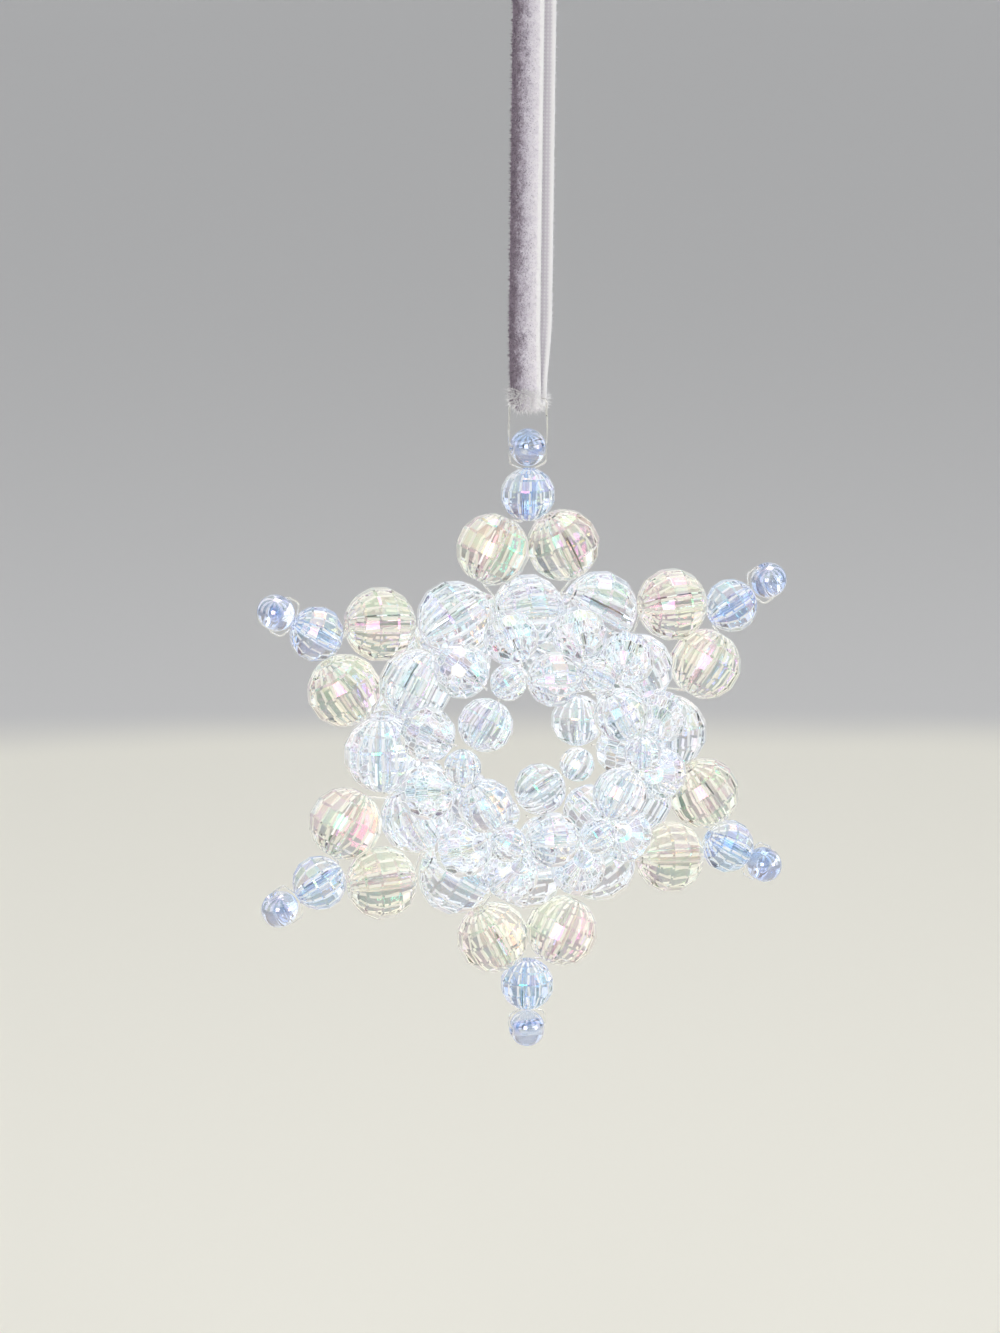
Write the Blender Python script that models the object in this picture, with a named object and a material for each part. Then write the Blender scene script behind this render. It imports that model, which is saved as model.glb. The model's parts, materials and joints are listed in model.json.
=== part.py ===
"""Beaded star ornament: faceted acrylic beads woven on nylon line, hung by a velvet ribbon.

Metres, +Z up, the front of the star faces -Y. The origin is where a hook holds the ribbon,
between its two strands and under its knot.
"""

import math

import bpy
import numpy as np
from mathutils import Matrix, Vector

MM = 0.001

# Sizes of the beads, in metres
VALLEY_BEAD = 8.3 * MM
BASE_BEAD = 7.8 * MM
CREAM_BEAD = 7.8 * MM
POINT_BEAD = 5.8 * MM
TIP_BEAD = 3.9 * MM
CONNECTOR_BEAD = 5.8 * MM
RING_BEAD = 5.8 * MM
SMALL_RING_BEAD = 3.9 * MM
BEAD_GAP = 0.3 * MM

# Bores of the beads and the nylon line
LARGE_BORE = 1.6 * MM
POINT_BORE = 1.4 * MM
TIP_BORE = 1.2 * MM
LINE = 0.25 * MM
CORNER = 0.25 * MM

# How the beads sit
BASE_TUCK = 1.29 * MM
RING_RISE = 27
CREAM_LEAN = 27
STUB = 1.2 * MM

# Hanging loop and ribbon
LOOP_HEIGHT = 5.4 * MM
DROP = 93 * MM
RIBBON_WIDTH = 3.8 * MM
RIBBON_THICK = 0.8 * MM
STRAND_GAP = 1.6 * MM
RIBBON_TURN = -49
KNOT_HEIGHT = 4.6 * MM
KNOT_WIDTH = 6.4 * MM
SEAT = 0.05 * MM

# How finely the beads are cut
POINTS = 6
FACETS = 10
SMALL_FACETS = 8
LINE_SIDES = 5
LATITUDES = (-66, -40, -14, 14, 40, 66)

STEP = 2 * math.pi / POINTS
HALF = STEP / 2


# Where the beads sit. Each centre follows from the beads that it rests against.
def reach(one, other):
    """Distance between the centres of two beads that rest against each other."""
    return (one + other) / 2 + BEAD_GAP


even_ring = reach(VALLEY_BEAD, BASE_BEAD) / (2 * math.sin(HALF / 2))
base_radius = even_ring - BASE_TUCK
valley_radius = base_radius * math.cos(HALF) + math.sqrt(
    reach(VALLEY_BEAD, BASE_BEAD) ** 2 - (base_radius * math.sin(HALF)) ** 2
)
cream_side = reach(CREAM_BEAD, CREAM_BEAD) / 2
cream_radius = base_radius + math.sqrt(reach(CREAM_BEAD, BASE_BEAD) ** 2 - cream_side**2)
point_radius = cream_radius + math.sqrt(reach(CREAM_BEAD, POINT_BEAD) ** 2 - cream_side**2)
tip_radius = point_radius + reach(POINT_BEAD, TIP_BEAD)
small_ring_radius = reach(RING_BEAD, SMALL_RING_BEAD) / math.sin(HALF)
ring_radius = small_ring_radius * math.cos(HALF)

CENTRE = Vector((0, 0, -DROP))
DEPTH = Vector((0, 1, 0))


def outward(turn):
    """Unit vector from the centre of the star, this far clockwise from straight up."""
    return Vector((math.sin(turn), 0, math.cos(turn)))


def across(turn):
    """Unit vector in the plane of the star, at right angles to outward and clockwise."""
    return Vector((math.cos(turn), 0, -math.sin(turn)))


def spot(turn, side, radius, depth=0.0):
    """Place in the frame of one direction of the star: sideways, outwards and into the depth."""
    return CENTRE + across(turn) * side + outward(turn) * radius + DEPTH * depth


def connector_place(side):
    """Sideways and outward place and depth of a connector, seen from its point, on side +1 or -1.

    It rests in the groove between a base bead and a valley bead, and leans in over that groove until
    a large bead of the ring, in the valley's direction, sits on it at the angle of RING_RISE. It stays
    clear of the next point's connector, which is its mirror image across the valley's direction.
    """
    base = Vector((0, base_radius))
    to_valley = Vector((math.sin(HALF), math.cos(HALF)))
    valley = to_valley * valley_radius
    from_base = reach(CONNECTOR_BEAD, BASE_BEAD)
    from_valley = reach(CONNECTOR_BEAD, VALLEY_BEAD)
    span = (valley - base).length
    along = (from_base**2 - from_valley**2 + span**2) / (2 * span)
    line = (valley - base).normalized()
    inward = Vector((line.y, -line.x))
    groove = base + line * along
    away = groove - to_valley * ring_radius
    flat_reach = reach(CONNECTOR_BEAD, RING_BEAD) * math.cos(math.radians(RING_RISE))
    towards = away.dot(inward)
    lean_in = -towards - math.sqrt(towards**2 - away.length_squared + flat_reach**2)
    flat = groove + inward * lean_in
    from_line = Vector((-to_valley.y, to_valley.x))
    flat += from_line * max(0.0, reach(CONNECTOR_BEAD, CONNECTOR_BEAD) / 2 - flat.dot(from_line))
    return side * flat.x, flat.y, math.sqrt(from_base**2 - (flat - base).length_squared)


def ring_depth():
    """Depth of a ring: its large bead rests on the two connectors beside a valley bead."""
    rise = reach(CONNECTOR_BEAD, RING_BEAD) * math.sin(math.radians(RING_RISE))
    return connector_place(1)[2] + rise


# Shapes
def closed_mesh(points, faces):
    """Mesh from points and faces."""
    mesh = bpy.data.meshes.new("shape")
    mesh.from_pydata([tuple(p) for p in points], [], [tuple(f) for f in faces])
    return mesh


def ring_faces(rings, columns, wrap):
    """Quads between rings of points that follow each other, and from the last to the first with wrap."""
    faces = []
    for i in range(rings if wrap else rings - 1):
        low, high = i * columns, (i + 1) % rings * columns
        for j in range(columns):
            k = (j + 1) % columns
            faces.append((low + j, low + k, high + k, high + j))
    return faces


def bead_mesh(size, columns, bore=0.0):
    """Faceted bead whose bore runs along X: rings of facets from end to end, then back through the bore."""
    angles = np.radians(LATITUDES)
    along = list(size / 2 * np.sin(angles))
    radii = list(size / 2 * np.cos(angles))
    if bore:
        along += [along[-1], along[0]]
        radii += [bore / 2, bore / 2]
    points = []
    for x, radius in zip(along, radii):
        for j in range(columns):
            turn = 2 * math.pi * j / columns
            points.append((x, radius * math.cos(turn), radius * math.sin(turn)))
    faces = ring_faces(len(along), columns, bool(bore))
    if not bore:
        faces.append(tuple(reversed(range(columns))))
        faces.append(tuple(range(len(points) - columns, len(points))))
    return closed_mesh(points, faces)


def tube_mesh(path, size, closed):
    """Round line along a path, given in the frame of the star."""
    count = len(path)
    points = []
    side = None
    for i, place in enumerate(path):
        before = path[i - 1] if closed or i else path[i]
        after = path[(i + 1) % count] if closed or i < count - 1 else path[i]
        along = ((place - before).normalized() + (after - place).normalized()).normalized()
        if side is None:
            side = along.cross(DEPTH) if abs(along.y) < 0.9 else along.cross(Vector((1, 0, 0)))
        side = (side - along * side.dot(along)).normalized()
        up = along.cross(side)
        for j in range(LINE_SIDES):
            turn = 2 * math.pi * j / LINE_SIDES
            points.append(place + (side * math.cos(turn) + up * math.sin(turn)) * (size / 2))
    faces = ring_faces(count, LINE_SIDES, closed)
    if not closed:
        faces.append(tuple(reversed(range(LINE_SIDES))))
        faces.append(tuple(range(len(points) - LINE_SIDES, len(points))))
    return closed_mesh(points, faces)


def eased(path, closed):
    """The path with each corner cut off a little way before and after it."""
    count = len(path)
    out = []
    for i, place in enumerate(path):
        if not closed and i in (0, count - 1):
            out.append(place)
            continue
        for other in (path[i - 1], path[(i + 1) % count]):
            back = other - place
            out.append(place + back.normalized() * min(CORNER, 0.4 * back.length))
    return out


# Materials
def material(name, colour, roughness, transmission=0.0, alpha=1.0):
    """Principled material of one colour."""
    made = bpy.data.materials.new(name)
    made.use_nodes = True
    shader = made.node_tree.nodes["Principled BSDF"]
    shader.inputs["Base Color"].default_value = (*colour, 1.0)
    shader.inputs["Roughness"].default_value = roughness
    shader.inputs["IOR"].default_value = 1.49
    shader.inputs["Transmission Weight"].default_value = transmission
    shader.inputs["Alpha"].default_value = alpha
    return made


def acrylic(name, colour):
    """Clear tinted acrylic of a bead."""
    return material(name, colour, 0.05, 0.6)


CLEAR = (0.86, 0.89, 0.92)
CREAM = (0.88, 0.85, 0.68)
PALE_BLUE = (0.68, 0.76, 0.92)
BLUE = (0.5, 0.6, 0.88)
NYLON = (0.8, 0.8, 0.76)
VELVET = (0.42, 0.38, 0.43)


def node(name, mesh, shade, matrix=None):
    """One named object of the part."""
    made = bpy.data.objects.new(name, mesh)
    mesh.materials.append(shade)
    bpy.context.scene.collection.objects.link(made)
    if matrix is not None:
        made.matrix_world = matrix
    return made


def placed(centre, axis):
    """Matrix that puts a bead at a place with its bore along an axis."""
    x = axis.normalized()
    guide = DEPTH if abs(x.y) < 0.9 else Vector((0, 0, 1))
    y = (guide - x * guide.dot(x)).normalized()
    z = x.cross(y)
    turn = Matrix((x, y, z)).transposed().to_4x4()
    return Matrix.Translation(centre) @ turn


def joined(name, beads, line, shade):
    """Beads and the line that carries them, as one body."""
    helpers = bpy.data.collections.new(name + "_pieces")
    bpy.context.scene.collection.children.link(helpers)
    for mesh, matrix in beads:
        piece = bpy.data.objects.new(name + "_piece", mesh)
        piece.matrix_world = matrix
        piece.hide_render = True
        piece.display_type = "WIRE"
        helpers.objects.link(piece)
    made = node(name, line, shade)
    join = made.modifiers.new("beads", "BOOLEAN")
    join.operation = "UNION"
    join.solver = "EXACT"
    join.operand_type = "COLLECTION"
    join.collection = helpers
    return made


# The scene starts empty
for old in list(bpy.data.objects):
    bpy.data.objects.remove(old)


# Points of the star
def point_beads(number, turn):
    """The four beads of one point."""
    tip = placed(spot(turn, 0, tip_radius), across(turn))
    mesh = bead_mesh(TIP_BEAD, SMALL_FACETS, TIP_BORE)
    node(f"tip_bead_{number}", mesh, acrylic(f"blue_acrylic_tip_{number}", BLUE), tip)
    middle = placed(spot(turn, 0, point_radius), outward(turn))
    mesh = bead_mesh(POINT_BEAD, SMALL_FACETS, POINT_BORE)
    node(f"point_bead_{number}", mesh, acrylic(f"pale_blue_acrylic_{number}", PALE_BLUE), middle)
    for word, side in (("left", -1), ("right", 1)):
        centre = spot(turn, side * cream_side, cream_radius)
        mesh = bead_mesh(CREAM_BEAD, FACETS, LARGE_BORE)
        shade = acrylic(f"cream_acrylic_{number}_{word}", CREAM)
        node(f"cream_bead_{number}_{word}", mesh, shade, placed(centre, cream_axis(turn, side)))


def cream_axis(turn, side):
    """Direction of a cream bead's bore: up the point, leaning in towards its middle."""
    lean = math.radians(CREAM_LEAN)
    return outward(turn) * math.cos(lean) - across(turn) * (side * math.sin(lean))


def bead_end(size):
    """Half length of a bead along its bore."""
    return size / 2 * math.sin(math.radians(LATITUDES[-1]))


def half_point(turn, side):
    """Route of the line on one side of a point, from inside the base bead to inside the tip bead."""
    lift = LARGE_BORE / 2 - 1.9 * LINE
    slack = LARGE_BORE / 2 - 1.4 * LINE
    lean = math.radians(CREAM_LEAN)
    cream = Vector((cream_side, cream_radius))
    along = Vector((-math.sin(lean), math.cos(lean)))
    aside = Vector((-math.cos(lean), -math.sin(lean)))
    half = bead_end(CREAM_BEAD)
    low = cream - along * (half + 0.6 * LINE) + aside * slack
    high = cream + along * (half + 0.6 * LINE) + aside * slack
    apart = POINT_BORE / 2 - 1.4 * LINE
    neck = point_radius - bead_end(POINT_BEAD)
    pocket = Vector((apart * 1.6, neck - 1.4 * LINE))
    base_end = bead_end(BASE_BEAD) + 1.5 * LINE
    step = Vector((base_end, base_radius + lift))
    shoulder = math.radians(LATITUDES[-1])
    hug = Vector((math.sin(shoulder), math.cos(shoulder))) * (BASE_BEAD / 2 + 0.9 * LINE)
    hug += Vector((0, base_radius))
    route = [Vector((0.6 * base_end, base_radius + lift)), step, hug, low, high, pocket]
    route.append(Vector((apart, point_radius - 0.5 * bead_end(POINT_BEAD))))
    route.append(Vector((apart, point_radius + bead_end(POINT_BEAD))))
    tip_end = bead_end(TIP_BEAD) + 1.2 * LINE
    drop = tip_radius - TIP_BORE / 2 + 1.6 * LINE
    route.append(Vector((tip_end, tip_radius - 0.45 * TIP_BEAD)))
    route.append(Vector((tip_end, drop)))
    return [spot(turn, side * p.x, p.y) for p in route]


def point_line(number, turn):
    """Closed round of nylon line through the base bead and the four beads of a point."""
    path = half_point(turn, 1) + half_point(turn, -1)[::-1]
    shade = material(f"nylon_point_{number}", NYLON, 0.2, 0.5)
    node(f"point_line_{number}", tube_mesh(eased(path, True), LINE, True), shade)


# Woven core of the star
def outer_beads(number, turn):
    """Base bead under a point, and valley bead on its clockwise side."""
    base = placed(spot(turn, 0, base_radius), across(turn))
    mesh = bead_mesh(BASE_BEAD, FACETS, LARGE_BORE)
    node(f"base_bead_{number}", mesh, acrylic(f"clear_acrylic_base_{number}", CLEAR), base)
    valley = placed(spot(turn + HALF, 0, valley_radius), across(turn + HALF))
    mesh = bead_mesh(VALLEY_BEAD, FACETS, LARGE_BORE)
    node(f"valley_bead_{number}", mesh, acrylic(f"clear_acrylic_valley_{number}", CLEAR), valley)


def connector_route(turn, side, face, carrier, carrier_radius, lift):
    """One half of a pair: its bead's centre and bore, and the line from the carrier bead to the ring."""
    room = 3.0 * LINE if carrier_radius == valley_radius else 1.2 * LINE
    x, radius, depth = connector_place(1)
    angle = math.atan2(x, radius)
    if carrier_radius == valley_radius:
        angle = HALF - angle
    apart = math.hypot(x, radius)
    centre = spot(turn, side * apart * math.sin(angle), apart * math.cos(angle), face * depth)
    beads = (RING_BEAD, SMALL_RING_BEAD)
    share = (beads[0] + BEAD_GAP) / (sum(beads) + 2 * BEAD_GAP)
    meet_side = share * small_ring_radius * math.sin(HALF)
    inner = spot(turn, side * meet_side, ring_radius, face * ring_depth())
    groove = bead_end(carrier) + room
    start = spot(turn, side * 0.5 * groove, carrier_radius - lift, face * lift)
    outer = spot(turn, side * groove, carrier_radius - lift, face * lift)
    axis = (inner - outer).normalized()
    half = bead_end(CONNECTOR_BEAD)
    end = centre + axis * half
    stub = end + (inner - end).normalized() * STUB
    return centre, axis, [start, outer, centre - axis * (half + LINE), end, stub]


def pair(name, turn, face, carrier, carrier_radius, lift):
    """Two connector beads on the line that runs through a bead of the outer ring."""
    right = connector_route(turn, 1, face, carrier, carrier_radius, lift)
    left = connector_route(turn, -1, face, carrier, carrier_radius, lift)
    beads = []
    for centre, axis, route in (left, right):
        beads.append((bead_mesh(CONNECTOR_BEAD, SMALL_FACETS), placed(centre, axis)))
    path = left[2][::-1] + right[2]
    line = tube_mesh(eased(path, False), LINE, False)
    joined(name, beads, line, acrylic(f"clear_acrylic_{name}", CLEAR))


def ring(name, face, first_turn):
    """Round of six large and six small beads on one closed line."""
    beads = []
    path = []
    depth = face * ring_depth()
    for i in range(POINTS):
        turn = first_turn + i * STEP
        for size, radius, at in (
            (RING_BEAD, ring_radius, turn),
            (SMALL_RING_BEAD, small_ring_radius, turn + HALF),
        ):
            centre = spot(at, 0, radius, depth)
            beads.append((bead_mesh(size, SMALL_FACETS), placed(centre, across(at))))
            path.append(centre)
    line = tube_mesh(path, LINE, True)
    joined(name, beads, line, acrylic(f"clear_acrylic_{name}", CLEAR))


# Ribbon and hanging loop
ribbon_across = Vector((math.cos(math.radians(RIBBON_TURN)), math.sin(math.radians(RIBBON_TURN)), 0))
ribbon_face = Vector((-ribbon_across.y, ribbon_across.x, 0))
loop_top = tip_radius - DROP + LOOP_HEIGHT
fold_radius = (STRAND_GAP + RIBBON_THICK) / 2
fold_height = loop_top + STRAND_GAP / 2 - 0.8 * LINE


def hanging_loop():
    """Closed loop of nylon through the top tip bead, with its top across the fold of the ribbon."""
    tip = tip_radius - DROP + TIP_BORE / 2 - 1.6 * LINE
    wide = RIBBON_WIDTH / 2 + 1.6 * LINE
    out = bead_end(TIP_BEAD) + 1.4 * LINE
    path = []
    for side in (1, -1):
        leg = [
            Vector((side * 0.5 * out, 0, tip)),
            Vector((side * out, 0, tip)),
            Vector((side * (TIP_BEAD / 2 + LINE), 0, tip + 0.3 * LOOP_HEIGHT)),
            ribbon_across * (side * wide) + Vector((0, 0, loop_top - 0.3 * LOOP_HEIGHT)),
            ribbon_across * (side * wide) + Vector((0, 0, loop_top)),
        ]
        path += leg if side > 0 else leg[::-1]
    node("hanging_loop", tube_mesh(eased(path, True), LINE, True), material("nylon_loop", NYLON, 0.2, 0.5))


def ribbon():
    """Flat strip: down one strand, round the fold and up the other strand."""
    top = -SEAT
    middle = []
    for x in (-1, 1):
        strand = [(x * fold_radius, top), (x * fold_radius, top + (fold_height - top) / 2)]
        middle += strand if x < 0 else []
        if x < 0:
            for i in range(9):
                turn = math.pi * i / 8
                middle.append((-fold_radius * math.cos(turn), fold_height - fold_radius * math.sin(turn)))
        else:
            middle += strand[::-1]
    places = [ribbon_face * x + Vector((0, 0, z)) for x, z in middle]
    points = []
    for i, place in enumerate(places):
        before = places[max(i - 1, 0)]
        after = places[min(i + 1, len(places) - 1)]
        along = (after - before).normalized()
        normal = ribbon_across.cross(along)
        for a, b in ((-1, -1), (-1, 1), (1, 1), (1, -1)):
            points.append(place + ribbon_across * (a * RIBBON_WIDTH / 2) + normal * (b * RIBBON_THICK / 2))
    faces = ring_faces(len(places), 4, False)
    faces.append((3, 2, 1, 0))
    faces.append(tuple(range(len(points) - 4, len(points))))
    node("ribbon", closed_mesh(points, faces), material("mauve_velvet", VELVET, 0.9))


def knot():
    """Soft lump where the two ends of the ribbon are tied together."""
    mesh = bead_mesh(1.0, FACETS)
    shape = np.empty(len(mesh.vertices) * 3)
    mesh.vertices.foreach_get("co", shape)
    shape = shape.reshape(-1, 3)
    tall = 2 * math.sin(math.radians(LATITUDES[-1])) / 2
    shape = shape[:, [2, 1, 0]] * (KNOT_WIDTH, KNOT_WIDTH, KNOT_HEIGHT / tall)
    mesh.vertices.foreach_set("co", shape.ravel())
    mesh.flip_normals()
    place = Matrix.Translation(Vector((0, 0, KNOT_HEIGHT / 2)))
    node("ribbon_knot", mesh, material("mauve_velvet_knot", VELVET, 0.9), place)


for i in range(POINTS):
    here = i * STEP
    point_beads(i + 1, here)
    outer_beads(i + 1, here)
    point_line(i + 1, here)
    lift_in_base = LARGE_BORE / 2 - 1.9 * LINE
    pair(f"front_pair_{i + 1}", here, -1, BASE_BEAD, base_radius, 0.7 * lift_in_base)
    pair(f"back_pair_{i + 1}", here + HALF, 1, VALLEY_BEAD, valley_radius, 0.8 * lift_in_base)
ring("front_ring", -1, 0.0)
ring("back_ring", 1, HALF)
hanging_loop()
ribbon()
knot()
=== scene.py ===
# %% [markdown]
# # A beaded star on a velvet ribbon
#
# The real object is a craft piece: faceted acrylic beads are threaded on thin nylon line until
# they lock into a star with an open middle, and a narrow velvet ribbon through a nylon loop
# hangs it up. The solids of every bead already exist. This lesson gives them their cut facets,
# their iridescent coating, the line that shows through them and the pile of the ribbon.

# %% Load the solids
import json
import math

import bmesh
import bpy
import numpy as np
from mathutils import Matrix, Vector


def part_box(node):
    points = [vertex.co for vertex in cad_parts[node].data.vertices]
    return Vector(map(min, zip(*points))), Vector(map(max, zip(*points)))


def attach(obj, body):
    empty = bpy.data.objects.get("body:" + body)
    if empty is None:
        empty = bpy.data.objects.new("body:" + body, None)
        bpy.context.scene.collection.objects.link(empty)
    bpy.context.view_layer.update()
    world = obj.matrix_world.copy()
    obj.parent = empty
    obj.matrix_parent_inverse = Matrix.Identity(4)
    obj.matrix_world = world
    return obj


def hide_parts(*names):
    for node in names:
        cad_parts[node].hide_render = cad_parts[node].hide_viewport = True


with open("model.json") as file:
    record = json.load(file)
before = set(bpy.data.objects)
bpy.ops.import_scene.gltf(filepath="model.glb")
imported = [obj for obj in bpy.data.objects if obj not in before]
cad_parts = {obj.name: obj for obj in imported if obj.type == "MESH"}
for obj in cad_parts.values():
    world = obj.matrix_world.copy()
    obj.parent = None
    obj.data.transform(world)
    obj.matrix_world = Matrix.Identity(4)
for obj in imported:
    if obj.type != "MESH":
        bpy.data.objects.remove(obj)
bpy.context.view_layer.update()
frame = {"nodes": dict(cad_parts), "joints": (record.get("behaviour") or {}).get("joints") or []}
MM = 0.001
POINTS = range(1, 7)
joint = {j["name"]: j for j in frame["joints"]}
star = np.mean([joint[f"point_{k}_rock"]["pos_m"] for k in POINTS], axis=0)
chance = np.random.default_rng(11)
print("solids loaded:", len(frame["nodes"]), "star centre", star.round(4))

# %% [markdown]
# A finish is a tree of nodes. It could be wired by hand in the shader editor, but as code every
# value can be read and changed in one place. One function adds a node, sets its sockets and links
# it. Colours are the hex values that a paint program shows, turned to the linear values that
# shaders need, and the size of a noise pattern is given in real millimetres.

# %% Colours and nodes
TIMES, TIMES_PLUS = {"operation": "MULTIPLY"}, {"operation": "MULTIPLY_ADD"}
SMOOTH = {"interpolation_type": "SMOOTHSTEP"}


def linear(code):
    """Hex sRGB colour as linear RGBA: the standard curve, one channel at a time."""
    srgb = np.array([int(code[i : i + 2], 16) for i in (1, 3, 5)]) / 255
    value = np.where(srgb <= 0.04045, srgb / 12.92, ((srgb + 0.055) / 1.055) ** 2.4)
    return (*value.tolist(), 1.0)


def add(tree, kind, settings=None, tones=(), **sockets):
    """Adds one shader node. A socket value that is a node or an output is linked, any other is set.

    A node stands for its first output. A socket goes by its name, or by its number as in _0. Tones
    are the colours of a ramp, each with its place from 0 to 1.
    """
    made = tree.nodes.new("ShaderNode" + kind)
    for key, value in (settings or {}).items():
        setattr(made, key, value)
    if tones:
        stops = made.color_ramp.elements
        stops[0].color, stops[1].color = linear(tones[0][1]), linear(tones[-1][1])
        for at, code in tones[1:-1]:
            stops.new(at).color = linear(code)
    for key, value in sockets.items():
        by_number = key[1:].isdigit()
        spot = made.inputs[int(key[1:])] if by_number else made.inputs[key.replace("_", " ")]
        if isinstance(value, bpy.types.Node):
            value = value.outputs[0]
        if isinstance(value, bpy.types.NodeSocket):
            tree.links.new(value, spot)
        else:
            spot.default_value = value
    return made


def noise_scale(size):
    """Scale of a noise pattern on coordinates in metres whose blots are about this wide."""
    return 0.5 / size


def new_material(name):
    """An empty node material and the tree that its nodes go into."""
    material = bpy.data.materials.new(name)
    material.use_nodes = True
    material.node_tree.nodes.clear()
    return material, material.node_tree


print("mid grey as linear light:", round(linear("#808080")[0], 3))

# %% [markdown]
# Every piece of the ornament is a mesh that rides on the body of its solid. A mesh could be built
# face by face, but whole arrays of points leave a formula to read and are much quicker. Beads of
# clear acrylic cast no shadow here: the renderer would give them the black shadow of an opaque
# body, while real beads pass the light on to each other.

# %% Pieces
TURNED_OVER = [0, 3, 2, 1]


def place_object(name, data):
    """An object in the scene that shows this mesh, lamp or camera."""
    made = bpy.data.objects.new(name, data)
    bpy.context.scene.collection.objects.link(made)
    return made


def unit(vectors):
    """Vectors of length one."""
    return vectors / np.linalg.norm(vectors, axis=-1, keepdims=True)


def round_turns(count):
    """Angles spread evenly once round."""
    return np.linspace(0, 2 * math.pi, count, endpoint=False)


def grid_faces(rows, columns, closed=False):
    """Quads of a grid of points. It closes round its columns, and a closed one along its rows too."""
    i, j = np.meshgrid(np.arange(rows if closed else rows - 1), np.arange(columns), indexing="ij")
    here, below, beside = i * columns, (i + 1) % rows * columns, (j + 1) % columns
    return np.stack((here + j, here + beside, below + beside, below + j), -1).reshape(-1, 4)


def make_piece(name, parts, materials, body, replaced, slot):
    """One mesh from several parts: dicts of points, faces, and index, smooth and coat of the faces."""
    mesh = bpy.data.meshes.new(name)
    starts = np.cumsum([0] + [len(part["points"]) for part in parts]).tolist()
    faces = [[int(i) + start for i in face] for part, start in zip(parts, starts) for face in part["faces"]]
    mesh.from_pydata(np.concatenate([part["points"] for part in parts]).tolist(), [], faces)

    def of_faces(key):
        return np.concatenate([np.broadcast_to(part.get(key, 0), len(part["faces"])) for part in parts])

    mesh.polygons.foreach_set("material_index", of_faces("index").astype(np.int32))
    mesh.polygons.foreach_set("use_smooth", of_faces("smooth").astype(bool))
    coat = mesh.attributes.new("coat", "FLOAT", "FACE")
    coat.data.foreach_set("value", of_faces("coat").astype(np.float32))
    if "uv" in parts[0]:
        corners = np.concatenate([np.asarray(part["uv"], np.float32).reshape(-1, 2) for part in parts])
        mesh.uv_layers.new(name="strip").data.foreach_set("uv", corners.ravel())
    for material in materials:
        mesh.materials.append(material)
    piece = place_object(name, mesh)
    piece.visible_shadow = not slot.endswith("acrylic")
    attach(piece, body)
    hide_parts(replaced)
    return piece


print("a closed grid of 3 by 4 points has", len(grid_faces(3, 4, True)), "faces")

# %% [markdown]
# The camera stands a little to the left of the star's front and a little above it, as the places
# of the beads in the picture tell. The star sits right of and below the middle of the frame. The
# camera could be turned to bring it there, but that would change the perspective, so it is moved.

# %% Camera
AZIMUTH, ELEVATION = math.radians(-18.8), math.radians(12.3)
DISTANCE, SENSOR = 400 * MM, 36
FRAME_WIDTH, FRAME_HEIGHT, PIXELS_PER_MM = 1000, 1333, 9.086
STAR_PIXEL = (527.5, 742.6)
level = math.cos(ELEVATION)
back = np.array((math.sin(AZIMUTH) * level, -math.cos(AZIMUTH) * level, math.sin(ELEVATION)))
right = np.array((math.cos(AZIMUTH), math.sin(AZIMUTH), 0))
up = np.cross(back, right)
aside = (STAR_PIXEL[0] - FRAME_WIDTH / 2) / PIXELS_PER_MM * MM
below = (STAR_PIXEL[1] - FRAME_HEIGHT / 2) / PIXELS_PER_MM * MM
lens = bpy.data.cameras.new("camera")
lens.sensor_width = SENSOR
lens.lens = SENSOR * DISTANCE / (FRAME_HEIGHT / PIXELS_PER_MM * MM)
lens.clip_start = 10 * MM
camera = place_object("camera", lens)
camera.location = star + back * DISTANCE - right * aside + up * below
camera.rotation_euler = (math.pi / 2 - ELEVATION, 0, AZIMUTH)
bpy.context.scene.camera = camera
print("lens", round(lens.lens, 1), "mm at", np.round(camera.location, 3))

# %% [markdown]
# The ribbon is one strip of narrow velvet: down to the loop, round it and up again to the knot. A
# curve with a bevel would be the same on both sides, but velvet has pile on one side only, so the
# strip is a profile carried along a path. The profile has a thin woven ground with a firm selvedge,
# and a cushion of pile on the outer side. The nylon loop pulls the fold tight, so the two strands
# come together over the last few millimetres, and the whole strip leans a little.

# %% Path and profile of the ribbon
RIBBON_WIDTH, GROUND, PILE = 3.8 * MM, 0.28 * MM, 0.62 * MM
FOLD, FOLD_LIFT, FOLD_SAG = 0.55 * MM, 0.4 * MM, 0.05 * MM
SPREAD, LEAN = 9 * MM, 0.6 * MM
FRONT_SHIFT, BACK_SHIFT, LEFT_AT_KNOT = -0.35 * MM, 0.95 * MM, 0.1
PILE_REACH = 0.97
RIBBON_TURN = math.radians(-49)
UPWARD = np.array((0, 0, 1.0))
ribbon_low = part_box("ribbon")[0]
ribbon_across = np.array((math.cos(RIBBON_TURN), math.sin(RIBBON_TURN), 0))
ribbon_face = np.array((-ribbon_across[1], ribbon_across[0], 0))
fold_height = ribbon_low[2] + FOLD + FOLD_LIFT


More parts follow.
